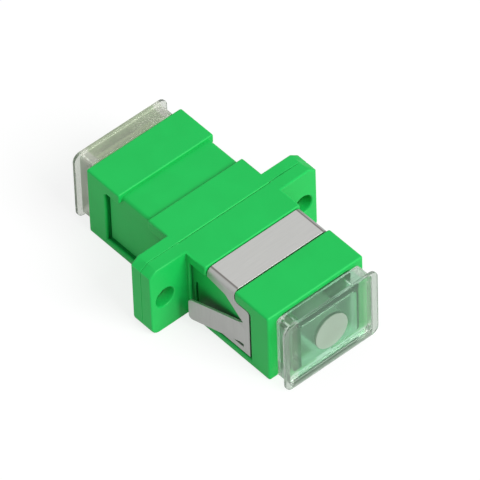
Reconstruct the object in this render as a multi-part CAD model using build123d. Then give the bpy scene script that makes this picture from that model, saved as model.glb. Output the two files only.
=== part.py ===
from build123d import *
import os

# Fibre optic adapter: two green housing halves joined at a flange, an inner latch moulding
# in each half, a split alignment sleeve, one folded spring clip and two clear dust caps.
# Millimetres. X is the optical axis, towards the clip end. The wide face is up, along +Z.
# The origin is on the optical axis in the flange's joint plane, between the two screw holes.

# Housing body
body_width = 12.8
body_height = 9.2
body_half_length = 14.0
body_edge_round = 0.25
mouth_edge_round = 0.25

# Flange: each housing half carries half of its thickness
flange_half_thickness = 1.5
flange_chamfer_width = 0.95
flange_chamfer_height = 0.7
flange_lower_round = 1.0
flange_edge_round = 0.2
joint_line_bevel = 0.06
screw_hole_pitch = 18.6
screw_hole_diameter = 2.4
screw_hole_end_margin = 1.9

# Opening for a plug, and the slot in the underside for the plug's key
opening_width = 9.1
opening_height = 7.5
opening_lead_in = 0.3
key_slot_width = 2.2
key_slot_length = 7.0

# Groove for the clip's strap and side pocket for the clip's leg
groove_depth = 0.42
groove_corner_round = 0.4
pocket_start = 1.9
pocket_length = 9.3
pocket_top = 3.2
pocket_bottom = -3.75
undercut_width = 0.35
undercut_depth = 0.6
shallow_undercut_depth = 0.25
pocket_corner_round = 0.4
wall_slit_offset = 0.4
wall_slit_width = 0.4
wall_slit_top = 0.6
wall_slit_end_gap = 0.5
wall_slit_depth = 0.8

# Spring clip, folded from one strip
clip_thickness = 0.3
clip_seat_clearance = 0.03
strap_start = 4.6
strap_width = 4.15
strap_edge_clearance = 0.15
leg_end_clearance = 0.25
leg_edge_clearance = 0.2
neck_rear_drop = 1.15
neck_corner_drop = 1.6
neck_top_width = 1.45
leg_corner_round = 0.45
leg_cut_height = 0.85
leg_cut_reach = 1.0
tab_bend_reach = 1.5
tab_top = 0.5
tab_bottom = -2.45
tab_length = 6.6
tab_end_height = 2.85
tab_end_top = -0.35
tab_corner_round = 0.5
tab_flare_angle = 11.5
relief_slit_width = 0.4
lower_strip_length = 5.25

# Split alignment sleeve
sleeve_bore_diameter = 2.5
sleeve_outer_diameter = 3.2
sleeve_length = 11.4
sleeve_slit_width = 0.5

# Inner latch moulding: base plate, sleeve barrel and two hook arms
latch_plate_thickness = 1.0
latch_plate_overlap = 0.5
latch_seat_clearance = 0.05
latch_plate_round = 0.6
barrel_outer_diameter = 4.6
barrel_lip_thickness = 0.5
barrel_lip_clearance = 0.2
barrel_edge_chamfer = 0.3
sleeve_side_clearance = 0.05
sleeve_end_clearance = 0.1
hook_inner_gap = 5.6
hook_arm_thickness = 0.75
hook_arm_height = 3.8
hook_arm_length = 8.3
hook_nose_height = 0.35
hook_nose_length = 0.95
hook_root_round = 0.5

# Dust cap: thin rimmed plate, spacer block, skirt inside the mouth and a centre post
cap_plate_width = 12.5
cap_plate_height = 9.2
cap_plate_thickness = 0.2
cap_rim_width = 0.85
cap_rim_height = 0.15
cap_corner_round = 0.95
cap_rim_corner_round = 0.45
cap_end_wall = 0.7
cap_spacer_width = 11.1
cap_spacer_height = 8.6
cap_spacer_thickness = 1.7
cap_spacer_corner_round = 0.5
cap_seat_gap = 0.3
cap_skirt_clearance = 0.1
cap_skirt_wall = 0.7
cap_skirt_depth = 3.8
cap_post_diameter = 4.3
cap_post_gap = 0.6
cap_post_chamfer = 0.3

# Places worked out from the sizes above
half_width = body_width / 2
half_height = body_height / 2
flange_width = screw_hole_pitch + 2 * screw_hole_end_margin
groove_floor_half_width = half_width - groove_depth
groove_floor_height = half_height - groove_depth
groove_start = strap_start - strap_edge_clearance
groove_end = strap_start + strap_width + strap_edge_clearance
pocket_end = pocket_start + pocket_length
barrel_end = sleeve_length / 2 + sleeve_end_clearance + barrel_lip_thickness
latch_plate_end = latch_seat_clearance + latch_plate_thickness
latch_plate_width = opening_width + 2 * latch_plate_overlap
latch_plate_height = opening_height + 2 * latch_plate_overlap


def block(x_range, y_range, z_range):
    """Box between two limits on each axis."""
    sizes = [high - low for low, high in (x_range, y_range, z_range)]
    centre = [(high + low) / 2 for low, high in (x_range, y_range, z_range)]
    return Pos(*centre) * Box(*sizes)


def bar(x_start, x_end, width, height, corner_round):
    """Bar along X with a rounded rectangular section about the optical axis."""
    section = Plane.YZ.offset(x_start) * RectangleRounded(width, height, corner_round)
    return extrude(section, x_end - x_start)


def rod(x_start, x_end, diameter):
    """Round bar along the optical axis."""
    return extrude(Plane.YZ.offset(x_start) * Circle(diameter / 2), x_end - x_start)


def both_sides(shape):
    """A shape together with its mirror image across the XZ plane."""
    return shape + mirror(shape, Plane.XZ)


def turned_to_rear(shape):
    """The same moulding turned half round the vertical axis, for the rear end."""
    return Rot(0, 0, 180) * shape


def housing_body():
    """Plain outer form of one body half, with its long edges and mouth edges rounded."""
    body = block((0, body_half_length), (-half_width, half_width), (-half_height, half_height))
    body = fillet(body.edges().filter_by(Axis.X), body_edge_round)
    return fillet(body.faces().sort_by(Axis.X)[-1].edges(), mouth_edge_round)


def flange_half():
    """Half the flange: bevelled upper corners, round lower corners and a fine joint bevel."""
    side = flange_width / 2
    outline = Polyline(
        (-side, -half_height),
        (side, -half_height),
        (side, half_height - flange_chamfer_height),
        (side - flange_chamfer_width, half_height),
        (-side + flange_chamfer_width, half_height),
        (-side, half_height - flange_chamfer_height),
        close=True,
    )
    face = make_face(outline)
    face = fillet(face.vertices().group_by(Axis.Y)[0], flange_lower_round)
    plate = extrude(Plane.YZ * face, flange_half_thickness)
    plate = fillet(plate.faces().sort_by(Axis.X)[-1].edges(), flange_edge_round)
    return chamfer(plate.faces().sort_by(Axis.X)[0].edges(), joint_line_bevel)


def recess_outline():
    """The groove of the strap and the pocket of the leg below it, seen from the side."""
    face = make_face(
        Polyline(
            (groove_start, body_height),
            (groove_end, body_height),
            (groove_end, pocket_top),
            (pocket_end, pocket_top),
            (pocket_end, pocket_bottom),
            (pocket_start, pocket_bottom),
            (pocket_start, pocket_top),
            (groove_start, pocket_top),
            close=True,
        )
    )
    corners = [(groove_start, pocket_top), (groove_end, pocket_top), (pocket_end, pocket_top)]
    rounded = [face.vertices().sort_by_distance((x, z, 0))[0] for x, z in corners]
    return fillet(rounded, pocket_corner_round)


def clip_recess():
    """Space of the clip, over the top face and down both sides."""
    band = extrude(Plane.XZ * recess_outline(), body_width, both=True)
    core = bar(
        0,
        body_half_length,
        2 * groove_floor_half_width,
        2 * groove_floor_height,
        groove_corner_round,
    )
    return band - core


def pocket_undercuts():
    """Deeper cuts in the floor of one pocket: along its outer end, its bottom and near the flange."""
    outside = half_width + groove_depth
    floor = groove_floor_half_width
    end_undercut = block(
        (pocket_end - undercut_width, pocket_end),
        (floor - undercut_depth, outside),
        (pocket_bottom, pocket_top - pocket_corner_round),
    )
    low_undercut = block(
        (groove_end, pocket_end),
        (floor - undercut_depth, outside),
        (pocket_bottom, pocket_bottom + undercut_width),
    )
    shallow_undercut = block(
        (pocket_start, groove_end),
        (floor - shallow_undercut_depth, outside),
        (pocket_bottom, pocket_bottom + undercut_width),
    )
    slit_start = pocket_start + wall_slit_offset
    slit = block(
        (slit_start, slit_start + wall_slit_width),
        (floor - wall_slit_depth, outside),
        (pocket_bottom + wall_slit_end_gap, wall_slit_top),
    )
    return end_undercut + low_undercut + shallow_undercut + slit


def plug_cavity():
    """Through opening for the plug, with the wider seat of the latch plate at the joint."""
    corner = groove_corner_round
    tunnel = bar(0, body_half_length, opening_width, opening_height, corner)
    seat = bar(
        0,
        latch_plate_end + latch_seat_clearance,
        latch_plate_width + 2 * latch_seat_clearance,
        latch_plate_height + 2 * latch_seat_clearance,
        latch_plate_round,
    )
    return tunnel + seat


def key_slot():
    """Slot through the underside, from the mouth inwards."""
    return block(
        (body_half_length - key_slot_length, 2 * body_half_length),
        (-key_slot_width / 2, key_slot_width / 2),
        (-body_height, 0),
    )


def screw_hole():
    """One screw hole through a flange half."""
    hole = rod(-flange_half_thickness, 2 * flange_half_thickness, screw_hole_diameter)
    return Pos(0, screw_hole_pitch / 2, 0) * hole


def housing_half():
    """One housing moulding. Two of them, back to back, make the housing."""
    shell = housing_body() + flange_half() - plug_cavity()
    mouth = shell.faces().sort_by(Axis.X)[-1]
    shell = chamfer(mouth.inner_wires()[0].edges(), opening_lead_in)
    shell = shell - clip_recess() - both_sides(pocket_undercuts())
    return shell - both_sides(screw_hole()) - key_slot()


def hook_arm():
    """Sprung arm on one side of the barrel, with a nose that catches the plug's frame."""
    inner = hook_inner_gap / 2
    outer = inner + hook_arm_thickness
    tip = latch_plate_end + hook_arm_length
    catch = tip - hook_nose_length
    profile = Polyline(
        (latch_plate_end - latch_plate_thickness / 2, inner),
        (catch, inner),
        (catch + hook_nose_height / 2, inner - hook_nose_height),
        (tip - hook_nose_height, inner - hook_nose_height),
        (tip, inner + hook_nose_height / 2),
        (tip, outer),
        (latch_plate_end - latch_plate_thickness / 2, outer),
        close=True,
    )
    arm = extrude(make_face(profile), hook_arm_height / 2, both=True)
    tip_corners = arm.faces().sort_by(Axis.X)[-1].edges().filter_by(Axis.Y)
    return fillet(tip_corners, hook_root_round)


def latch_moulding():
    """Base plate with the half barrel that holds the sleeve and two hook arms."""
    plate = bar(
        latch_seat_clearance,
        latch_plate_end,
        latch_plate_width,
        latch_plate_height,
        latch_plate_round,
    )
    barrel = rod(latch_seat_clearance, barrel_end, barrel_outer_diameter)
    barrel = chamfer(barrel.faces().sort_by(Axis.X)[-1].edges(), barrel_edge_chamfer)
    bore_diameter = sleeve_outer_diameter + 2 * sleeve_side_clearance
    bore = rod(0, barrel_end - barrel_lip_thickness, bore_diameter)
    lip_hole = rod(0, 2 * barrel_end, sleeve_bore_diameter + 2 * barrel_lip_clearance)
    return plate + barrel + both_sides(hook_arm()) - bore - lip_hole


def alignment_sleeve():
    """Tube split along its top, which closes round two ferrules."""
    half = sleeve_length / 2
    tube = rod(-half, half, sleeve_outer_diameter) - rod(-half, half, sleeve_bore_diameter)
    slit = block(
        (-sleeve_length, sleeve_length),
        (-sleeve_slit_width / 2, sleeve_slit_width / 2),
        (0, sleeve_outer_diameter),
    )
    return tube - slit


def clip_bend_profile():
    """The strip's section: across the top and down both sides, with round bends."""
    inner_width = 2 * (groove_floor_half_width + clip_seat_clearance)
    inner_height = 2 * (groove_floor_height + clip_seat_clearance)
    inner_round = groove_corner_round + clip_seat_clearance
    outer = RectangleRounded(
        inner_width + 2 * clip_thickness,
        inner_height + 2 * clip_thickness,
        inner_round + clip_thickness,
    )
    inner = RectangleRounded(inner_width, inner_height, inner_round)
    return outer - inner


def clip_side_outline():
    """Outline of the strap and one leg, seen from the side, without the tab."""
    strap_end = strap_start + strap_width
    leg_top = pocket_top - leg_edge_clearance
    leg_end = pocket_end - leg_end_clearance
    leg_bottom = pocket_bottom + leg_edge_clearance
    slit_top = tab_bottom
    slit_bottom = tab_bottom - relief_slit_width
    bend = leg_end - tab_bend_reach
    cut = leg_end - leg_cut_reach
    strap_top = groove_floor_height + clip_seat_clearance + clip_thickness
    outline = Polyline(
        (strap_start, body_height),
        (strap_end, body_height),
        (strap_end, leg_top),
        (leg_end, leg_top),
        (leg_end, leg_bottom),
        (leg_end - lower_strip_length, leg_bottom),
        (leg_end - lower_strip_length, slit_bottom),
        (cut, slit_bottom),
        (cut, slit_top),
        (bend, slit_top),
        (bend, tab_top),
        (cut, leg_cut_height),
        (strap_end - neck_top_width, strap_top - neck_corner_drop),
        (strap_start, strap_top - neck_rear_drop),
        close=True,
    )
    face = make_face(outline)
    corners = [(strap_end, leg_top), (leg_end, leg_top)]
    rounded = [face.vertices().sort_by_distance((x, z, 0))[0] for x, z in corners]
    return fillet(rounded, leg_corner_round)


def spring_tab():
    """Tab of one leg, bent outwards so that it catches behind the panel."""
    bend_x = pocket_end - leg_end_clearance - tab_bend_reach
    middle_y = groove_floor_half_width + clip_seat_clearance + clip_thickness / 2
    outline = Polyline(
        (0, tab_bottom),
        (0, tab_top),
        (-tab_length, tab_end_top),
        (-tab_length, tab_end_top - tab_end_height),
        close=True,
    )
    face = make_face(outline)
    face = fillet(face.vertices().sort_by(Axis.X)[:2], tab_corner_round)
    blade = extrude(Plane.XZ * face, clip_thickness / 2, both=True)
    root = Pos(0, 0, tab_bottom) * extrude(Circle(clip_thickness / 2), tab_top - tab_bottom)
    return Pos(bend_x, middle_y, 0) * (Rot(0, 0, -tab_flare_angle) * blade + root)


def mounting_clip():
    """Spring clip folded from one strip: strap, two legs and two flared tabs."""
    x_end = pocket_end - leg_end_clearance
    strip = extrude(Plane.YZ.offset(strap_start) * clip_bend_profile(), x_end - strap_start)
    side = extrude(Plane.XZ * clip_side_outline(), body_width, both=True)
    return (strip & side) + both_sides(spring_tab())


def dust_cap():
    """Clear push-in cap for the clip end."""
    spacer_start = body_half_length + cap_seat_gap
    plate_start = spacer_start + cap_spacer_thickness
    plate_end = plate_start + cap_plate_thickness
    rim_end = plate_end + cap_rim_height
    hollow_end = plate_end - cap_end_wall
    skirt_width = opening_width - 2 * cap_skirt_clearance
    skirt_height = opening_height - 2 * cap_skirt_clearance
    plate = bar(plate_start, rim_end, cap_plate_width, cap_plate_height, cap_corner_round)
    rim_opening = bar(
        plate_end,
        rim_end,
        cap_plate_width - 2 * cap_rim_width,
        cap_plate_height - 2 * cap_rim_width,
        cap_rim_corner_round,
    )
    spacer = bar(
        spacer_start,
        plate_start,
        cap_spacer_width,
        cap_spacer_height,
        cap_spacer_corner_round,
    )
    skirt_start = body_half_length - cap_skirt_depth
    skirt = bar(skirt_start, spacer_start, skirt_width, skirt_height, groove_corner_round)
    hollow = bar(
        skirt_start,
        hollow_end,
        skirt_width - 2 * cap_skirt_wall,
        skirt_height - 2 * cap_skirt_wall,
        groove_corner_round,
    )
    post = rod(barrel_end + cap_post_gap, rim_end, cap_post_diameter)
    post = chamfer(post.faces().sort_by(Axis.X)[0].edges(), cap_post_chamfer)
    return plate - rim_opening + spacer + skirt - hollow + post


def main():
    """Build each piece once and write it as its own file."""
    os.makedirs("parts", exist_ok=True)
    housing = housing_half()
    latch = latch_moulding()
    cap = dust_cap()
    pieces = {
        "housing_front": housing,
        "housing_rear": turned_to_rear(housing),
        "latch_front": latch,
        "latch_rear": turned_to_rear(latch),
        "alignment_sleeve": alignment_sleeve(),
        "mounting_clip": mounting_clip(),
        "dust_cap_front": cap,
        "dust_cap_rear": turned_to_rear(cap),
    }
    for name, piece in pieces.items():
        export_step(piece, f"parts/{name}.step")
        print(name, round(piece.volume, 3), piece.bounding_box().size)


main()
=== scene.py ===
import logging
import math
from dataclasses import dataclass, field
from enum import Enum
from typing import Iterable

import bmesh
import bpy
from mathutils import Matrix, Vector


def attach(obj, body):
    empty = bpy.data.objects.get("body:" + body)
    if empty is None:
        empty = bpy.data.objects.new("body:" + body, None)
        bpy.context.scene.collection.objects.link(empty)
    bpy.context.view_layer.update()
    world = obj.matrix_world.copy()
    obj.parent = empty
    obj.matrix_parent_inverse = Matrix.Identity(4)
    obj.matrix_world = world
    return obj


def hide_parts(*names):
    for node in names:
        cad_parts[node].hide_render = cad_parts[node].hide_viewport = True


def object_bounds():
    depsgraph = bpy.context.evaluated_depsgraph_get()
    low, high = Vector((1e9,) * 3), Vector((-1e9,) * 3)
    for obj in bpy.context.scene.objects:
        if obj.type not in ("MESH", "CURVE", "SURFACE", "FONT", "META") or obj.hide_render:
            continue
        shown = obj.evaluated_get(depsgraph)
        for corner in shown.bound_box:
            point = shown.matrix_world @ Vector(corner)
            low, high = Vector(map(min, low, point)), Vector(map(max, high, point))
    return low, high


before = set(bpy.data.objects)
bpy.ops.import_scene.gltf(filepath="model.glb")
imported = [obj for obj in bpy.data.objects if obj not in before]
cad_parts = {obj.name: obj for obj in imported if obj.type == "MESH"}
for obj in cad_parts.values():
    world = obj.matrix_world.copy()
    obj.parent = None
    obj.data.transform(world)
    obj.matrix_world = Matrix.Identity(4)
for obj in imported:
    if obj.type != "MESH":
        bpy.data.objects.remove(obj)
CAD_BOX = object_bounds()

# Looks of a fibre optic adapter: green moulded housing halves, a folded spring clip,
# clear dust caps and the latch mouldings and ceramic sleeve inside.
# Metres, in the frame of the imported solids: +X is the optical axis, +Z is up.

log = logging.getLogger("adapter")

MM = 0.001

Colour = tuple[float, float, float]
Range = tuple[float, float]

# Most of a noise texture's values lie in this range.
NOISE_MIDDLE: Range = (0.35, 0.65)


class Body(Enum):
    """Rigid bodies that the pieces ride on."""

    ADAPTER = "adapter"
    FRONT_CAP = "front_cap"
    REAR_CAP = "rear_cap"


class Slot(Enum):
    """Material slots of the record."""

    HOUSING = "housing_plastic"
    LATCH = "latch_plastic"
    SLEEVE = "sleeve_ceramic"
    CLIP = "clip_steel"
    CAP = "cap_plastic"


class NodeTree:
    """Adds and joins the nodes of one material, group or world."""

    def __init__(self, tree: bpy.types.NodeTree) -> None:
        """Starts on a tree.

        Args:
            tree: The node tree to build in.
        """
        self.tree = tree

    def add(self, kind: str, settings: dict | None = None, inputs: dict | None = None) -> bpy.types.Node:
        """Adds one node.

        Args:
            kind: Blender's name of the node type.
            settings: Attributes of the node.
            inputs: Input name or index to a value or to the output socket that feeds it.

        Returns:
            The new node.
        """
        node = self.tree.nodes.new(kind)
        for name, value in (settings or {}).items():
            setattr(node, name, value)
        for name, value in (inputs or {}).items():
            self.feed(node.inputs[name], value)
        return node

    def feed(self, socket: bpy.types.NodeSocket, value: object) -> None:
        """Joins an output socket to an input, or sets the input's own value.

        Args:
            socket: The input.
            value: An output socket or a plain value.
        """
        if isinstance(value, bpy.types.NodeSocket):
            self.tree.links.new(value, socket)
        else:
            socket.default_value = value

    def math(self, operation: str, first: object, second: object = 0.0) -> bpy.types.NodeSocket:
        """Adds a Math node.

        Args:
            operation: Blender's name of the operation.
            first: First value or socket.
            second: Second value or socket.

        Returns:
            The result's socket.
        """
        node = self.add("ShaderNodeMath", {"operation": operation}, {0: first, 1: second})
        return node.outputs[0]

    def blend(self, factor: object, first: object, second: object) -> bpy.types.NodeSocket:
        """Mixes two colours.

        Args:
            factor: Share of the second colour, as a value or a socket.
            first: Colour at a factor of nought.
            second: Colour at a factor of one.

        Returns:
            The mixed colour's socket.
        """
        node = self.add("ShaderNodeMix", {"data_type": "RGBA"})
        named = {socket.identifier: socket for socket in node.inputs}
        self.feed(named["Factor_Float"], factor)
        self.feed(named["A_Color"], first)
        self.feed(named["B_Color"], second)
        return next(socket for socket in node.outputs if socket.identifier == "Result_Color")

    def product(self, *factors: object) -> bpy.types.NodeSocket:
        """Multiplies values.

        Args:
            *factors: Two or more values or sockets.

        Returns:
            The product's socket.
        """
        result = factors[0]
        for factor in factors[1:]:
            result = self.math("MULTIPLY", result, factor)
        return result

    def axes(self, coordinates: str) -> tuple[bpy.types.NodeSocket, ...]:
        """Splits a coordinate into its parts.

        Args:
            coordinates: Output of the Texture Coordinate node, such as Object or Normal.

        Returns:
            The sockets of X, Y and Z.
        """
        place = self.add("ShaderNodeTexCoord")
        parts = self.add("ShaderNodeSeparateXYZ", None, {0: place.outputs[coordinates]})
        return tuple(parts.outputs)

    def ranged(self, value: object, low: float, high: float, from_low: object = 0.0,
               from_high: object = 1.0) -> bpy.types.NodeSocket:
        """Maps a value to another range.

        Args:
            value: The value's socket.
            low: Result at the range's start.
            high: Result at the range's end.
            from_low: Start of the incoming range, as a value or a socket.
            from_high: End of the incoming range, as a value or a socket.

        Returns:
            The result's socket.
        """
        node = self.add("ShaderNodeMapRange", None, {0: value, 1: from_low, 2: from_high, 3: low, 4: high})
        return node.outputs[0]


def with_alpha(colour: Colour, share: float = 1.0) -> tuple[float, float, float, float]:
    """Gives a share of a colour's brightness, with the fourth number that colour sockets take."""
    return (*(value * share for value in colour), 1.0)


class SurfaceEffects:
    """Node groups shared by the finishes, each built once."""

    SPECK_RADIUS = 0.22
    EDGE_TURN: Range = (0.75, 0.99)
    EDGE_SAMPLES = 6
    # Break-up of the edge mask, which carries both wear and a painted highlight.
    WEAR_PATCHES: Range = (0.3, 0.7)
    LEAST_WEAR = 0.35
    SHADE_SAMPLES = 8
    LINE_STRETCH = (1.0, 0.05, 0.05)

    def __init__(self) -> None:
        """Builds every group."""
        self.grain = self.build_grain()
        self.edges = self.build_edges()
        self.gaps = self.build_gaps()
        self.shelter = self.build_shelter()
        self.rolling = self.build_rolling()

    @staticmethod
    def open_group(name: str, inputs: dict[str, float], outputs: Iterable[str]) -> tuple:
        """Makes an empty group with named number sockets.

        Args:
            name: Name of the group.
            inputs: Input name to its default.
            outputs: Names of the outputs.

        Returns:
            The group, its builder, the input node and the output node.
        """
        group = bpy.data.node_groups.new(name, "ShaderNodeTree")
        for label, value in inputs.items():
            socket = group.interface.new_socket(label, in_out="INPUT", socket_type="NodeSocketFloat")
            socket.default_value = value
        for label in outputs:
            group.interface.new_socket(label, in_out="OUTPUT", socket_type="NodeSocketFloat")
        builder = NodeTree(group)
        return group, builder, builder.add("NodeGroupInput"), builder.add("NodeGroupOutput")

    @staticmethod
    def millimetre_vector(
            builder: NodeTree, scale: tuple[float, float, float] = (1.0, 1.0, 1.0)) -> bpy.types.NodeSocket:
        """Object coordinates in millimetres, stretched by a scale.

        Args:
            builder: The tree to add the nodes to.
            scale: Cycles per millimetre along X, Y and Z.

        Returns:
            The vector's socket.
        """
        place = builder.add("ShaderNodeTexCoord")
        per_metre = tuple(value / MM for value in scale)
        mapping = builder.add("ShaderNodeMapping", None, {
            "Vector": place.outputs["Object"], "Scale": per_metre})
        return mapping.outputs["Vector"]

    def build_grain(self) -> bpy.types.NodeTree:
        """Fine moulded texture with slow flow marks over it.

        Returns:
            The group, with the outputs Height, Flow and Speck.
        """
        group, builder, given, result = self.open_group(
            "MouldedGrain", {"Grain Scale": 8.0, "Flow Scale": 0.25}, ("Height", "Flow", "Speck"))
        vector = self.millimetre_vector(builder)
        fine = builder.add("ShaderNodeTexNoise", None, {
            "Vector": vector, "Scale": given.outputs["Grain Scale"], "Detail": 3.0, "Roughness": 0.6})
        flow = builder.add("ShaderNodeTexNoise", None, {
            "Vector": vector, "Scale": given.outputs["Flow Scale"], "Detail": 2.0, "Distortion": 0.6})
        pits = builder.add("ShaderNodeTexVoronoi", None, {
            "Vector": vector, "Scale": given.outputs["Grain Scale"]})
        speck = builder.ranged(pits.outputs["Distance"], 1.0, 0.0, 0.0, self.SPECK_RADIUS)
        builder.feed(result.inputs["Height"], fine.outputs["Fac"])
        builder.feed(result.inputs["Flow"], flow.outputs["Fac"])
        builder.feed(result.inputs["Speck"], speck)
        return group

    def build_edges(self) -> bpy.types.NodeTree:
        """Mask of the outer edges, where handling polishes a surface and a painted highlight lightens it.

        Returns:
            The group, with the output Mask.
        """
        group, builder, given, result = self.open_group(
            "WornEdges", {"Radius": 0.12 * MM, "Break Up": 2.5}, ("Mask",))
        rounded = builder.add("ShaderNodeBevel", {"samples": self.EDGE_SAMPLES}, {
            "Radius": given.outputs["Radius"]})
        shape = builder.add("ShaderNodeNewGeometry")
        turned = builder.add("ShaderNodeVectorMath", {"operation": "DOT_PRODUCT"}, {
            0: rounded.outputs["Normal"], 1: shape.outputs["Normal"]})
        edge = builder.ranged(turned.outputs["Value"], 1.0, 0.0, *self.EDGE_TURN)
        vector = self.millimetre_vector(builder)
        patches = builder.add("ShaderNodeTexNoise", None, {
            "Vector": vector, "Scale": given.outputs["Break Up"], "Detail": 2.0})
        broken = builder.ranged(patches.outputs["Fac"], self.LEAST_WEAR, 1.0, *self.WEAR_PATCHES)
        builder.feed(result.inputs["Mask"], builder.product(edge, broken))
        return group

    def closed_in(self, builder: NodeTree, given: bpy.types.Node, only_local: bool) -> bpy.types.NodeSocket:
        """Tells how far the shapes around a point close it in.

        Args:
            builder: The group's builder.
            given: The group's input node, with the inputs Reach, Open and Closed.
            only_local: Whether only the piece itself counts, and not its neighbours.

        Returns:
            The mask's socket.
        """
        around = builder.add(
            "ShaderNodeAmbientOcclusion", {"samples": self.SHADE_SAMPLES, "only_local": only_local},
            {"Distance": given.outputs["Reach"]})
        return builder.ranged(
            around.outputs["AO"], 0.0, 1.0, given.outputs["Open"], given.outputs["Closed"])

    def build_gaps(self) -> bpy.types.NodeTree:
        """Mask of the narrow gaps and inner corners, where little light comes, for painted shade.

        Returns:
            The group, with the output Mask.
        """
        group, builder, given, result = self.open_group(
            "NarrowGaps", {"Reach": 1.0 * MM, "Open": 0.7, "Closed": 0.15}, ("Mask",))
        builder.feed(result.inputs["Mask"], self.closed_in(builder, given, only_local=True))
        return group

    def build_shelter(self) -> bpy.types.NodeTree:
        """Mask of painted shadow on the side pockets' floors, where the clip and the walls keep light off.

        The floors lie between Inner and Outer sideways, nearer the middle than End and lower than Top.

        Returns:
            The group, with the output Mask.
        """
        group, builder, given, result = self.open_group(
            "ShelteredPockets",
            {"Reach": 4.0 * MM, "Open": 0.85, "Closed": 0.35, "Inner": 5.96 * MM, "Outer": 6.1 * MM,
             "End": 11.3 * MM, "Top": 3.3 * MM},
            ("Mask",))
        along, across, height = builder.axes("Object")
        sideways = builder.math("ABSOLUTE", across)
        mask = builder.product(
            self.closed_in(builder, given, only_local=False),
            builder.math("GREATER_THAN", sideways, given.outputs["Inner"]),
            builder.math("LESS_THAN", sideways, given.outputs["Outer"]),
            builder.math("LESS_THAN", builder.math("ABSOLUTE", along), given.outputs["End"]),
            builder.math("LESS_THAN", height, given.outputs["Top"]))
        builder.feed(result.inputs["Mask"], mask)
        return group

    def build_rolling(self) -> bpy.types.NodeTree:
        """Rolling lines along the strip of the spring steel.

        Returns:
            The group, with the output Lines.
        """
        group, builder, given, result = self.open_group("RollingLines", {"Line Scale": 6.0}, ("Lines",))
        vector = self.millimetre_vector(builder, self.LINE_STRETCH)
        lines = builder.add("ShaderNodeTexNoise", None, {
            "Vector": vector, "Scale": given.outputs["Line Scale"], "Detail": 4.0, "Roughness": 0.65})
        builder.feed(result.inputs["Lines"], lines.outputs["Fac"])
        return group


@dataclass(frozen=True)
class Finish:
    """Base of the finishes: a named material around one Principled shader."""

    name: str

    def begin(self) -> tuple[bpy.types.Material, NodeTree, bpy.types.Node]:
        """Makes the empty material.

        Returns:
            The material, its tree's builder and its Principled shader.
        """
        material = bpy.data.materials.new(self.name)
        material.use_nodes = True
        material.node_tree.nodes.clear()
        builder = NodeTree(material.node_tree)
        shader = builder.add("ShaderNodeBsdfPrincipled")
        output = builder.add("ShaderNodeOutputMaterial")
        builder.feed(output.inputs["Surface"], shader.outputs["BSDF"])
        return material, builder, shader

    @staticmethod
    def effect(builder: NodeTree, group: bpy.types.NodeTree, **inputs: float) -> bpy.types.Node:
        """Places a shared group in a material.

        Args:
            builder: The material's builder.
            group: The group.
            **inputs: Values of the group's inputs, with spaces in their names as underscores.

        Returns:
            The group's node.
        """
        named = {label.replace("_", " "): value for label, value in inputs.items()}
        return builder.add("ShaderNodeGroup", {"node_tree": group}, named)

    @staticmethod
    def mottled(builder: NodeTree, noise: bpy.types.NodeSocket, first: Colour, second: Colour,
                middle: Range = NOISE_MIDDLE) -> bpy.types.NodeSocket:
        """Mixes two colours by a noise.

        Args:
            builder: The material's builder.
            noise: The noise's socket.
            first: Colour where the noise is low.
            second: Colour where the noise is high.
            middle: Range of the noise over which the colour changes.

        Returns:
            The mixed colour's socket.
        """
        share = builder.ranged(noise, 0.0, 1.0, *middle)
        return builder.blend(share, with_alpha(first), with_alpha(second))

    @staticmethod
    def uneven(builder: NodeTree, noise: bpy.types.NodeSocket, value: float,
               spread: Range) -> bpy.types.NodeSocket:
        """Varies a number by a noise.

        Args:
            builder: The material's builder.
            noise: The noise's socket.
            value: The number.
            spread: How far it goes below and above its value.

        Returns:
            The varied number's socket.
        """
        below, above = spread
        return builder.ranged(noise, value - below, value + above)

    @staticmethod
    def bump(builder: NodeTree, shader: bpy.types.Node, height: bpy.types.NodeSocket, depth: float) -> None:
        """Feeds the shader's normal from a height.

        Args:
            builder: The material's builder.
            shader: The Principled shader.
            height: The height's socket, from nought to one.
            depth: Depth of the relief in metres.
        """
        relief = builder.add("ShaderNodeBump", None, {"Strength": 1.0, "Distance": depth, "Height": height})
        builder.feed(shader.inputs["Normal"], relief.outputs["Normal"])


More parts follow.
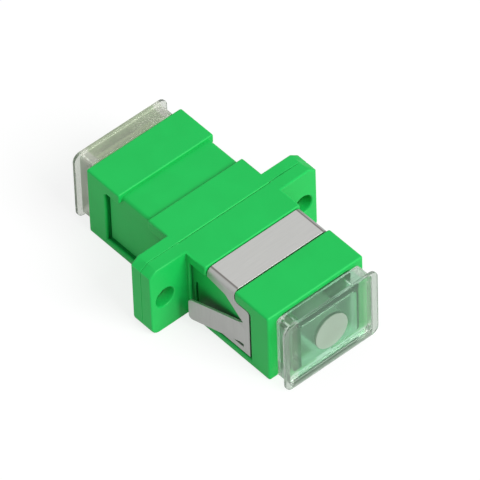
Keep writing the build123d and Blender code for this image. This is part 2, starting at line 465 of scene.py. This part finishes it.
@dataclass(frozen=True)
class MouldedPlastic(Finish):
    """Opaque injection-moulded plastic with a satin face, polished edges with light wear and a painted
    highlight, and painted shade in its gaps and side pockets.
    """

    colour: Colour = (0.5, 0.5, 0.5)
    flow_colour: Colour = (0.5, 0.5, 0.5)
    flow_scale: float = 0.22
    roughness: float = 0.42
    roughness_spread: Range = (0.04, 0.05)
    specular: float = 0.35
    grain_scale: float = 8.0
    grain_depth: float = 0.003 * MM
    edge_colour: Colour = (0.6, 0.6, 0.6)
    edge_roughness: float = 0.3
    edge_strength: float = 0.5
    edge_width: float = 0.13 * MM
    edge_break_up: float = 1.5
    gap_reach: float = 1.2 * MM
    # Shares of the colour kept in the painted gap shade and in the painted pocket shadow.
    gap_shade: float = 0.35
    shelter_shade: float = 0.28

    def make(self, effects: SurfaceEffects) -> bpy.types.Material:
        """Builds the material.

        Args:
            effects: The shared node groups.

        Returns:
            The material.
        """
        material, builder, shader = self.begin()
        grain = self.effect(
            builder, effects.grain, Grain_Scale=self.grain_scale, Flow_Scale=self.flow_scale)
        edges = self.effect(builder, effects.edges, Radius=self.edge_width, Break_Up=self.edge_break_up)
        gaps = self.effect(builder, effects.gaps, Reach=self.gap_reach)
        shelter = self.effect(builder, effects.shelter)
        base = self.mottled(builder, grain.outputs["Flow"], self.colour, self.flow_colour)
        # Lighter edges: partly wear, partly a painted highlight.
        edge = builder.product(edges.outputs["Mask"], self.edge_strength)
        worn = builder.blend(edge, base, with_alpha(self.edge_colour))
        # Painted shade in the narrow gaps, then a darker painted shadow on the pocket floors that the clip
        # covers.
        dim = builder.blend(gaps.outputs["Mask"], worn, with_alpha(self.colour, self.gap_shade))
        dark = with_alpha(self.colour, self.shelter_shade)
        builder.feed(shader.inputs["Base Color"], builder.blend(shelter.outputs["Mask"], dim, dark))
        satin = self.uneven(builder, grain.outputs["Height"], self.roughness, self.roughness_spread)
        polish = builder.product(edges.outputs["Mask"], self.roughness - self.edge_roughness)
        builder.feed(shader.inputs["Roughness"], builder.math("SUBTRACT", satin, polish))
        shader.inputs["Specular IOR Level"].default_value = self.specular
        self.bump(builder, shader, grain.outputs["Height"], self.grain_depth)
        return material


@dataclass(frozen=True)
class TurnBand:
    """Faces that have turned sideways by some amount, as the sideways part of their normal."""

    begin: float
    full: float
    fade: float
    gone: float

    def mask(self, builder: NodeTree) -> bpy.types.NodeSocket:
        """Builds the mask of the band.

        Args:
            builder: The material's builder.

        Returns:
            The mask's socket.
        """
        sideways = builder.math("ABSOLUTE", builder.axes("Normal")[1])
        begun = builder.ranged(sideways, 0.0, 1.0, self.begin, self.full)
        ended = builder.ranged(sideways, 1.0, 0.0, self.fade, self.gone)
        return builder.product(begun, ended)


@dataclass(frozen=True)
class SpringSteel(Finish):
    """Rolled spring strip: fine lines along it, edges with light wear and a painted highlight, and painted
    shade on the bends with a painted dark reflection near their tops.
    """

    colour: Colour = (0.545, 0.545, 0.53)
    line_colour: Colour = (0.51, 0.51, 0.495)
    line_scale: float = 5.0
    line_middle: Range = (0.3, 0.7)
    line_depth: float = 0.0008 * MM
    roughness: float = 0.42
    roughness_spread: Range = (0.06, 0.08)
    edge_colour: Colour = (0.66, 0.66, 0.64)
    edge_strength: float = 0.6
    edge_width: float = 0.06 * MM
    edge_break_up: float = 3.0
    # Painted shade on the bends, where the strip turns from top to side.
    bend_colour: Colour = (0.43, 0.43, 0.42)
    bend: TurnBand = TurnBand(begin=0.3, full=0.55, fade=0.93, gone=0.995)
    # Painted dark reflection near the top of each bend.
    crease_colour: Colour = (0.2, 0.19, 0.18)
    crease: TurnBand = TurnBand(begin=0.04, full=0.16, fade=0.28, gone=0.5)
    crease_height: Range = (3.6 * MM, 4.0 * MM)

    def make(self, effects: SurfaceEffects) -> bpy.types.Material:
        """Builds the material.

        Args:
            effects: The shared node groups.

        Returns:
            The material.
        """
        material, builder, shader = self.begin()
        rolling = self.effect(builder, effects.rolling, Line_Scale=self.line_scale)
        lines = rolling.outputs["Lines"]
        edges = self.effect(builder, effects.edges, Radius=self.edge_width, Break_Up=self.edge_break_up)
        base = self.mottled(builder, lines, self.colour, self.line_colour, self.line_middle)
        # Painted shade on the bends, and a painted dark reflection near their tops.
        bent = builder.blend(self.bend.mask(builder), base, with_alpha(self.bend_colour))
        high = builder.ranged(builder.axes("Object")[2], 0.0, 1.0, *self.crease_height)
        crease = builder.product(self.crease.mask(builder), high)
        creased = builder.blend(crease, bent, with_alpha(self.crease_colour))
        # Lighter edges: partly wear, partly a painted highlight.
        edge = builder.product(edges.outputs["Mask"], self.edge_strength)
        lit = builder.blend(edge, creased, with_alpha(self.edge_colour))
        builder.feed(shader.inputs["Base Color"], lit)
        satin = self.uneven(builder, lines, self.roughness, self.roughness_spread)
        builder.feed(shader.inputs["Roughness"], satin)
        shader.inputs["Metallic"].default_value = 1.0
        self.bump(builder, shader, lines, self.line_depth)
        return material


@dataclass(frozen=True)
class ClearPlastic(Finish):
    """Soft clear plastic that refracts and has a little milk in it."""

    colour: Colour = (0.46, 0.77, 0.57)
    flow_colour: Colour = (0.42, 0.73, 0.53)
    flow_scale: float = 0.3
    block_colour: Colour = (0.84, 0.87, 0.82)
    block_start: Range = (4.3 * MM, 4.6 * MM)
    shadow_colour: Colour = (0.72, 0.82, 0.74)
    transmission: float = 0.91
    refraction: float = 1.46
    roughness: float = 0.2
    roughness_spread: Range = (0.03, 0.05)
    grain_scale: float = 3.0
    grain_depth: float = 0.0015 * MM
    edge_colour: Colour = (0.82, 0.9, 0.83)
    edge_strength: float = 0.8
    edge_width: float = 0.1 * MM
    edge_break_up: float = 1.0

    def make(self, effects: SurfaceEffects) -> bpy.types.Material:
        """Builds the material.

        Args:
            effects: The shared node groups.

        Returns:
            The material.
        """
        material, builder, shader = self.begin()
        grain = self.effect(
            builder, effects.grain, Grain_Scale=self.grain_scale, Flow_Scale=self.flow_scale)
        edges = self.effect(builder, effects.edges, Radius=self.edge_width, Break_Up=self.edge_break_up)
        base = self.mottled(builder, grain.outputs["Flow"], self.colour, self.flow_colour)
        ends = builder.blend(self.solid_ends(builder), base, with_alpha(self.block_colour))
        # Edge colour: a painted highlight where it is lighter than the plastic, painted shade where it is
        # darker.
        edge = builder.product(edges.outputs["Mask"], self.edge_strength)
        lit = builder.blend(edge, ends, with_alpha(self.edge_colour))
        builder.feed(shader.inputs["Base Color"], lit)
        satin = self.uneven(builder, grain.outputs["Height"], self.roughness, self.roughness_spread)
        builder.feed(shader.inputs["Roughness"], satin)
        shader.inputs["Transmission Weight"].default_value = self.transmission
        shader.inputs["IOR"].default_value = self.refraction
        self.bump(builder, shader, grain.outputs["Height"], self.grain_depth)
        self.let_light_in(material, builder, shader)
        return material

    def solid_ends(self, builder: NodeTree) -> bpy.types.NodeSocket:
        """Mask of the solid ends beside the hollow, which look paler.

        Args:
            builder: The material's builder.

        Returns:
            The mask's socket.
        """
        sideways = builder.math("ABSOLUTE", builder.axes("Object")[1])
        return builder.ranged(sideways, 0.0, 1.0, *self.block_start)

    def let_light_in(self, material: bpy.types.Material, builder: NodeTree, shader: bpy.types.Node) -> None:
        """Lets shadow rays and diffuse rays straight through, tinted.

        Args:
            material: The material.
            builder: Its tree's builder.
            shader: Its Principled shader.
        """
        path = builder.add("ShaderNodeLightPath")
        open_way = builder.add("ShaderNodeBsdfTransparent", None, {"Color": with_alpha(self.shadow_colour)})
        unseen = builder.math("MAXIMUM", path.outputs["Is Shadow Ray"], path.outputs["Is Diffuse Ray"])
        either = builder.add("ShaderNodeMixShader", None, {
            0: unseen, 1: shader.outputs["BSDF"], 2: open_way.outputs["BSDF"]})
        output = next(node for node in material.node_tree.nodes if node.type == "OUTPUT_MATERIAL")
        builder.feed(output.inputs["Surface"], either.outputs[0])


@dataclass(frozen=True)
class SinteredCeramic(Finish):
    """Polished white ceramic."""

    colour: Colour = (0.86, 0.85, 0.8)
    cloud_colour: Colour = (0.817, 0.8075, 0.76)
    cloud_scale: float = 0.5
    roughness: float = 0.14
    roughness_spread: Range = (0.0, 0.1)
    grain_scale: float = 12.0
    grain_depth: float = 0.0005 * MM

    def make(self, effects: SurfaceEffects) -> bpy.types.Material:
        """Builds the material.

        Args:
            effects: The shared node groups.

        Returns:
            The material.
        """
        material, builder, shader = self.begin()
        grain = self.effect(
            builder, effects.grain, Grain_Scale=self.grain_scale, Flow_Scale=self.cloud_scale)
        base = self.mottled(builder, grain.outputs["Flow"], self.colour, self.cloud_colour)
        builder.feed(shader.inputs["Base Color"], base)
        polish = self.uneven(builder, grain.outputs["Speck"], self.roughness, self.roughness_spread)
        builder.feed(shader.inputs["Roughness"], polish)
        self.bump(builder, shader, grain.outputs["Height"], self.grain_depth)
        return material


@dataclass
class ProductCamera:
    """Camera at the photograph's viewing angle."""

    azimuth_deg: float = 50.30
    elevation_deg: float = 47.49
    roll_deg: float = -2.11
    distance: float = 0.7727
    lens_mm: float = 570.2
    sensor_mm: float = 36.0
    nearest: float = 0.05
    farthest: float = 5.0
    aim_right: float = -0.00153
    aim_up: float = -0.00031

    def make(self) -> bpy.types.Object:
        """Builds the camera.

        Returns:
            The camera's object, also set as the scene's.
        """
        azimuth, elevation, roll = map(math.radians, (self.azimuth_deg, self.elevation_deg, self.roll_deg))
        back = Vector((
            math.sin(azimuth) * math.cos(elevation),
            -math.cos(azimuth) * math.cos(elevation),
            math.sin(elevation),
        ))
        level_right = Vector((0.0, 0.0, 1.0)).cross(back).normalized()
        level_up = back.cross(level_right)
        right = level_right * math.cos(roll) + level_up * math.sin(roll)
        up = level_up * math.cos(roll) - level_right * math.sin(roll)
        place = back * self.distance - right * self.aim_right - up * self.aim_up
        data = bpy.data.cameras.new("camera")
        data.lens = self.lens_mm
        data.sensor_width = self.sensor_mm
        data.clip_start = self.nearest
        data.clip_end = self.farthest
        camera = bpy.data.objects.new("camera", data)
        turned = Matrix((right, up, back)).transposed().to_4x4()
        camera.matrix_world = Matrix.Translation(place) @ turned
        bpy.context.scene.collection.objects.link(camera)
        bpy.context.scene.camera = camera
        return camera


@dataclass
class SoftLight:
    """One square soft light that faces the object."""

    name: str
    direction: tuple[float, float, float]
    distance: float
    side: float
    watts: float

    def make(self) -> bpy.types.Object:
        """Builds the light.

        Returns:
            The light's object.
        """
        data = bpy.data.lights.new(self.name, "AREA")
        data.shape = "SQUARE"
        data.size = self.side
        data.energy = self.watts
        light = bpy.data.objects.new(self.name, data)
        light.visible_transmission = False
        towards = Vector(self.direction).normalized()
        turned = towards.to_track_quat("Z", "Y").to_matrix().to_4x4()
        light.matrix_world = Matrix.Translation(towards * self.distance) @ turned
        bpy.context.scene.collection.objects.link(light)
        return light


@dataclass
class Studio:
    """Pale floor, white surroundings and soft lights."""

    floor_side: float = 3.0
    floor_colour: Colour = (0.8, 0.8, 0.8)
    seen_floor_colour: Colour = (0.22, 0.22, 0.22)
    seen_glow: float = 0.8
    mirrored_glow: float = 0.52
    ambient: float = 0.485
    lights: list[SoftLight] = field(default_factory=lambda: [
        SoftLight("key_light", direction=(0.75, 0.15, 0.63), distance=1.0, side=0.56, watts=9.4),
    ])

    @staticmethod
    def seen(builder: NodeTree, glossy: float = 1.0) -> bpy.types.NodeSocket:
        """Mask of the rays that look at the surroundings: one for camera and transmission rays.

        Args:
            builder: The tree's builder.
            glossy: Value for glossy rays.

        Returns:
            The mask's socket.
        """
        path = builder.add("ShaderNodeLightPath")
        mirrored = builder.product(path.outputs["Is Glossy Ray"], glossy)
        straight = builder.math(
            "MAXIMUM", path.outputs["Is Camera Ray"], path.outputs["Is Transmission Ray"])
        return builder.math("MAXIMUM", straight, mirrored)

    def make_floor(self) -> bpy.types.Object:
        """Builds the floor under the object.

        Returns:
            The floor's object.
        """
        shape = bmesh.new()
        bmesh.ops.create_grid(shape, x_segments=2, y_segments=2, size=self.floor_side / 2)
        bmesh.ops.translate(shape, verts=shape.verts, vec=(0.0, 0.0, CAD_BOX[0].z))
        mesh = bpy.data.meshes.new("floor")
        shape.to_mesh(mesh)
        shape.free()
        floor = bpy.data.objects.new("floor", mesh)
        bpy.context.scene.collection.objects.link(floor)
        mesh.materials.append(self.floor_material())
        return floor

    def floor_material(self) -> bpy.types.Material:
        """White to the camera, pale to the light, and open from below.

        Returns:
            The material.
        """
        material = bpy.data.materials.new("studio_floor")
        material.use_nodes = True
        material.node_tree.nodes.clear()
        builder = NodeTree(material.node_tree)
        seen = self.seen(builder)
        tone = builder.blend(seen, with_alpha(self.floor_colour), with_alpha(self.seen_floor_colour))
        matt = builder.add("ShaderNodeBsdfDiffuse", None, {"Color": tone})
        glow = self.seen(builder, self.mirrored_glow / self.seen_glow)
        shine = builder.add("ShaderNodeEmission", None, {"Strength": builder.product(glow, self.seen_glow)})
        lit = builder.add("ShaderNodeAddShader", None, {0: matt.outputs[0], 1: shine.outputs[0]})
        shape = builder.add("ShaderNodeNewGeometry")
        through = builder.add("ShaderNodeBsdfTransparent")
        either = builder.add("ShaderNodeMixShader", None, {
            0: shape.outputs["Backfacing"], 1: lit.outputs[0], 2: through.outputs[0]})
        output = builder.add("ShaderNodeOutputMaterial")
        builder.feed(output.inputs["Surface"], either.outputs[0])
        return material

    def make_world(self) -> None:
        """Surroundings: white where they are seen, dimmer as light on the object."""
        world = bpy.data.worlds.new("studio")
        world.use_nodes = True
        world.node_tree.nodes.clear()
        builder = NodeTree(world.node_tree)
        strength = builder.ranged(self.seen(builder), self.ambient, 1.0)
        backdrop = builder.add("ShaderNodeBackground", None, {
            "Color": (1.0, 1.0, 1.0, 1.0), "Strength": strength})
        output = builder.add("ShaderNodeOutputWorld")
        builder.feed(output.inputs["Surface"], backdrop.outputs[0])
        bpy.context.scene.world = world

    def make(self) -> None:
        """Builds the floor, the surroundings and the lights."""
        self.make_floor()
        self.make_world()
        for light in self.lights:
            light.make()
        log.info("studio: floor and %d lights", len(self.lights))


@dataclass
class Finishes:
    """Every material of the adapter."""

    housing: bpy.types.Material
    latch: bpy.types.Material
    steel: bpy.types.Material
    ceramic: bpy.types.Material
    cap_clear: bpy.types.Material
    cap_milky: bpy.types.Material
    cap_rim: bpy.types.Material
    cap_pale_rim: bpy.types.Material
    cap_sill: bpy.types.Material
    cap_frosted: bpy.types.Material

    @classmethod
    def build(cls) -> "Finishes":
        """Builds the shared effects and the materials.

        Returns:
            The set of materials.
        """
        effects = SurfaceEffects()
        return cls(
            # The green's lighter edge colour is partly a painted highlight, and gap_shade sets its painted
            # shade.
            housing=MouldedPlastic(
                "housing_green", colour=(0.010, 0.52, 0.092), flow_colour=(0.009, 0.495, 0.086),
                edge_colour=(0.05, 0.66, 0.16), roughness=0.42, specular=0.22,
                edge_strength=0.8, edge_width=0.26 * MM, gap_reach=2.0 * MM, gap_shade=0.5).make(effects),
            latch=MouldedPlastic(
                "latch_white", colour=(0.72, 0.73, 0.68), flow_colour=(0.68, 0.69, 0.64),
                edge_colour=(0.82, 0.82, 0.78), roughness=0.45).make(effects),
            steel=SpringSteel("clip_steel").make(effects),
            ceramic=SinteredCeramic("sleeve_ceramic").make(effects),
            cap_clear=ClearPlastic("cap_clear").make(effects),
            # The rear cap's plastic: a milkier, olive-tinted copy of the clear cap plastic that stands in
            # for the shade seen through it: painted shade.
            cap_milky=ClearPlastic(
                "cap_milky", colour=(0.64, 0.70, 0.53), flow_colour=(0.57, 0.63, 0.47),
                block_colour=(0.88, 0.87, 0.79), edge_colour=(0.40, 0.43, 0.37), edge_strength=0.7,
                transmission=0.65, roughness=0.22).make(effects),
            # Copies of the cap plastic tinted per zone: painted light on the rims' sides, painted shade on
            # the front cap's sill.
            cap_rim=ClearPlastic(
                "cap_rim", colour=(0.60, 0.66, 0.60), flow_colour=(0.56, 0.62, 0.56),
                block_colour=(0.60, 0.66, 0.60), edge_colour=(0.66, 0.72, 0.66), edge_strength=0.5,
                transmission=0.92, roughness=0.22).make(effects),
            cap_pale_rim=ClearPlastic(
                "cap_pale_rim", colour=(0.74, 0.76, 0.71), flow_colour=(0.70, 0.72, 0.67),
                block_colour=(0.74, 0.76, 0.71), edge_colour=(0.66, 0.69, 0.64), edge_strength=0.5,
                transmission=0.95, roughness=0.2).make(effects),
            cap_sill=ClearPlastic(
                "cap_sill", colour=(0.28, 0.36, 0.29), flow_colour=(0.25, 0.33, 0.26),
                block_colour=(0.30, 0.36, 0.30), edge_colour=(0.32, 0.38, 0.32), edge_strength=0.5,
                transmission=0.8, roughness=0.3).make(effects),
            cap_frosted=ClearPlastic(
                "cap_frosted", colour=(0.38, 0.49, 0.385), flow_colour=(0.36, 0.46, 0.36),
                edge_colour=(0.55, 0.66, 0.55), transmission=0.25, roughness=0.4).make(effects),
        )


@dataclass
class Part:
    """Base of the sub-assemblies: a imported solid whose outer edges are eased, as a piece of its own."""

    node: str
    piece: str
    body: Body
    slot: Slot
    edge_radius: float = 0.05 * MM
    edge_segments: int = 3
    bevel_angle_deg: float = 60.0
    shading_angle_deg: float = 34.0
    flat_angle_deg: float = 0.5
    merge_distance: float = 0.001 * MM
    cut_height: float = -0.05 * MM

    def copied_solid(self) -> bmesh.types.BMesh:
        """Copies the solid's mesh, joins its loose triangles and makes its flat faces whole.

        A cut at mid height runs through every hole, so that no face goes round one.

        Returns:
            The closed shape.
        """
        shape = bmesh.new()
        shape.from_mesh(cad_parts[self.node].data)
        bmesh.ops.remove_doubles(shape, verts=shape.verts, dist=self.merge_distance)
        halves = bmesh.ops.bisect_plane(
            shape, geom=[*shape.verts, *shape.edges, *shape.faces], dist=self.merge_distance,
            plane_co=(0.0, 0.0, self.cut_height), plane_no=(0.0, 0.0, 1.0),
            clear_inner=False, clear_outer=False)
        for edge in halves["geom_cut"]:
            if isinstance(edge, bmesh.types.BMEdge):
                edge.seam = True
        bmesh.ops.dissolve_limit(
            shape, angle_limit=math.radians(self.flat_angle_deg), use_dissolve_boundaries=False,
            verts=shape.verts, edges=shape.edges, delimit={"SEAM"})
        return shape

    def sharp_edges(self, shape: bmesh.types.BMesh) -> list[bmesh.types.BMEdge]:
        """Outer edges that turn sharply."""
        limit = math.radians(self.bevel_angle_deg)
        return [edge for edge in shape.edges if edge.is_manifold and edge.calc_face_angle_signed() > limit]

    def radius_of(self, edge: bmesh.types.BMEdge) -> float:
        """Radius that an edge is rounded to."""
        return self.edge_radius

    def ease_edges(self, shape: bmesh.types.BMesh) -> None:
        """Rounds every outer edge that turns sharply, the finest radius first.

        Args:
            shape: The shape, changed in place.
        """
        for radius in sorted({self.radius_of(edge) for edge in self.sharp_edges(shape)}):
            chosen = [edge for edge in self.sharp_edges(shape) if self.radius_of(edge) == radius]
            bmesh.ops.bevel(
                shape, geom=chosen, affect="EDGES", offset=radius, offset_type="OFFSET",
                segments=self.edge_segments, profile=0.5, material=-1, clamp_overlap=False,
                loop_slide=False)

    def build_shape(self) -> bmesh.types.BMesh:
        """Builds the piece's shape.

        Returns:
            The shape.
        """
        shape = self.copied_solid()
        self.ease_edges(shape)
        return shape

    def materials(self, finishes: Finishes) -> list[bpy.types.Material]:
        """Materials of the piece, in the order of its faces' indices."""
        raise NotImplementedError

    def make(self, finishes: Finishes) -> bpy.types.Object:
        """Builds the piece, dresses it and sets it on its body.

        Args:
            finishes: The adapter's materials.

        Returns:
            The piece's object.
        """
        shape = self.build_shape()
        mesh = bpy.data.meshes.new(self.piece)
        shape.to_mesh(mesh)
        shape.free()
        mesh.shade_smooth()
        mesh.set_sharp_from_angle(angle=math.radians(self.shading_angle_deg))
        for material in self.materials(finishes):
            mesh.materials.append(material)
        piece = bpy.data.objects.new(self.piece, mesh)
        bpy.context.scene.collection.objects.link(piece)
        even = piece.modifiers.new("even_shading", "WEIGHTED_NORMAL")
        even.keep_sharp = True
        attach(piece, self.body.value)
        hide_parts(self.node)
        log.info("%s: %d faces, in place of %s", self.piece, len(mesh.polygons), self.node)
        return piece


@dataclass
class HousingHalf(Part):
    """Green moulded half of the housing with its half of the flange."""

    edge_radius: float = 0.18 * MM
    pocket_edge_radius: float = 0.05 * MM
    pocket_half_width: float = 6.05 * MM
    pocket_top: float = 3.1 * MM

    def radius_of(self, edge: bmesh.types.BMEdge) -> float:
        """Radius that an edge is rounded to: a finer one where the side pockets' cuts lie close together.

        Args:
            edge: The edge.

        Returns:
            The radius in metres.
        """
        deep = all(
            abs(vert.co.y) < self.pocket_half_width and vert.co.z < self.pocket_top for vert in edge.verts)
        return self.pocket_edge_radius if deep else self.edge_radius

    def materials(self, finishes: Finishes) -> list[bpy.types.Material]:
        """The green plastic."""
        return [finishes.housing]


@dataclass
class LatchMoulding(Part):
    """Inner moulding with the sleeve barrel and two hook arms."""

    def materials(self, finishes: Finishes) -> list[bpy.types.Material]:
        """The white plastic."""
        return [finishes.latch]


@dataclass
class AlignmentSleeve(Part):
    """Split ceramic sleeve in the barrels."""

    edge_radius: float = 0.03 * MM

    def materials(self, finishes: Finishes) -> list[bpy.types.Material]:
        """The ceramic."""
        return [finishes.ceramic]


@dataclass
class SpringClip(Part):
    """Folded spring strip round the clip end of the housing."""

    edge_radius: float = 0.04 * MM

    def materials(self, finishes: Finishes) -> list[bpy.types.Material]:
        """The steel."""
        return [finishes.steel]


class CapZone(Enum):
    """Zones of a dust cap, as material indices."""

    WALL = 0
    RIM = 1
    SILL = 2
    POST = 3


@dataclass
class DustCap(Part):
    """Push-in cap with a rimmed plate and a frosted centre post. The walls are clear or milky."""

    milky: bool = False
    post_radius: float = 2.15 * MM
    rim_start: float = 15.9 * MM
    rim_inner_half_width: float = 5.4 * MM
    rim_inner_half_height: float = 3.75 * MM
    zone_margin: float = 0.06 * MM

    def on_plate(self, *verts: bmesh.types.BMVert) -> bool:
        """Whether vertices lie on the rimmed plate."""
        return all(abs(vert.co.x) > self.rim_start for vert in verts)

    def on_post(self, face: bmesh.types.BMFace) -> bool:
        """Whether a face lies on the centre post."""
        return all(vert.co.yz.length < self.post_radius + self.zone_margin for vert in face.verts)

    def zone(self, face: bmesh.types.BMFace) -> CapZone:
        """Zone that a face lies in.

        Args:
            face: The face.

        Returns:
            The zone: the plate's rim counts apart at its sides and below.
        """
        if self.on_post(face):
            return CapZone.POST
        middle = face.calc_center_median()
        if abs(middle.x) < self.rim_start:
            return CapZone.WALL
        if abs(middle.y) > self.rim_inner_half_width - self.zone_margin:
            return CapZone.RIM
        low = middle.z < self.zone_margin - self.rim_inner_half_height
        return CapZone.SILL if low else CapZone.WALL

    def cut_rim_corners(self, shape: bmesh.types.BMesh) -> None:
        """Cuts the plate's faces where the rim's sides begin, so that each lies in one zone.

        Args:
            shape: The cap's shape, changed in place.
        """
        for side in (-self.rim_inner_half_width, self.rim_inner_half_width):
            verts = [vert for vert in shape.verts if self.on_plate(vert)]
            edges = [edge for edge in shape.edges if self.on_plate(*edge.verts)]
            faces = [face for face in shape.faces if self.on_plate(*face.verts)]
            bmesh.ops.bisect_plane(
                shape, geom=[*verts, *edges, *faces], dist=self.merge_distance,
                plane_co=(0.0, side, 0.0), plane_no=(0.0, 1.0, 0.0), clear_inner=False, clear_outer=False)

    def build_shape(self) -> bmesh.types.BMesh:
        """Builds the cap with its zones marked.

        Returns:
            The shape.
        """
        shape = self.copied_solid()
        self.ease_edges(shape)
        self.cut_rim_corners(shape)
        for face in shape.faces:
            face.material_index = self.zone(face).value
        return shape

    def materials(self, finishes: Finishes) -> list[bpy.types.Material]:
        """Chooses the plastic of each zone: tinted copies of one plastic, with painted light on the rims
        and painted shade on the front sill and the rear cap.

        Args:
            finishes: The adapter's materials.

        Returns:
            The materials, in the order of CapZone.
        """
        if self.milky:
            return [finishes.cap_milky, finishes.cap_pale_rim, finishes.cap_milky, finishes.cap_frosted]
        return [finishes.cap_clear, finishes.cap_rim, finishes.cap_sill, finishes.cap_frosted]


def main() -> None:
    """Builds the camera, the studio, the finishes and every piece in order."""
    logging.basicConfig(level=logging.INFO, format="%(message)s")
    bpy.context.scene.view_settings.view_transform = "Standard"
    ProductCamera().make()
    Studio().make()
    finishes = Finishes.build()
    for end in ("front", "rear"):
        HousingHalf(f"housing_{end}", f"{end}_housing_moulding", Body.ADAPTER, Slot.HOUSING).make(finishes)
        LatchMoulding(f"latch_{end}", f"{end}_latch_moulding", Body.ADAPTER, Slot.LATCH).make(finishes)
    DustCap("dust_cap_front", "front_dust_cap_moulding", Body.FRONT_CAP, Slot.CAP).make(finishes)
    DustCap("dust_cap_rear", "rear_dust_cap_moulding", Body.REAR_CAP, Slot.CAP, milky=True).make(finishes)
    AlignmentSleeve("alignment_sleeve", "split_ceramic_sleeve", Body.ADAPTER, Slot.SLEEVE).make(finishes)
    SpringClip("mounting_clip", "folded_spring_clip", Body.ADAPTER, Slot.CLIP).make(finishes)


if __name__ == "__main__":
    main()
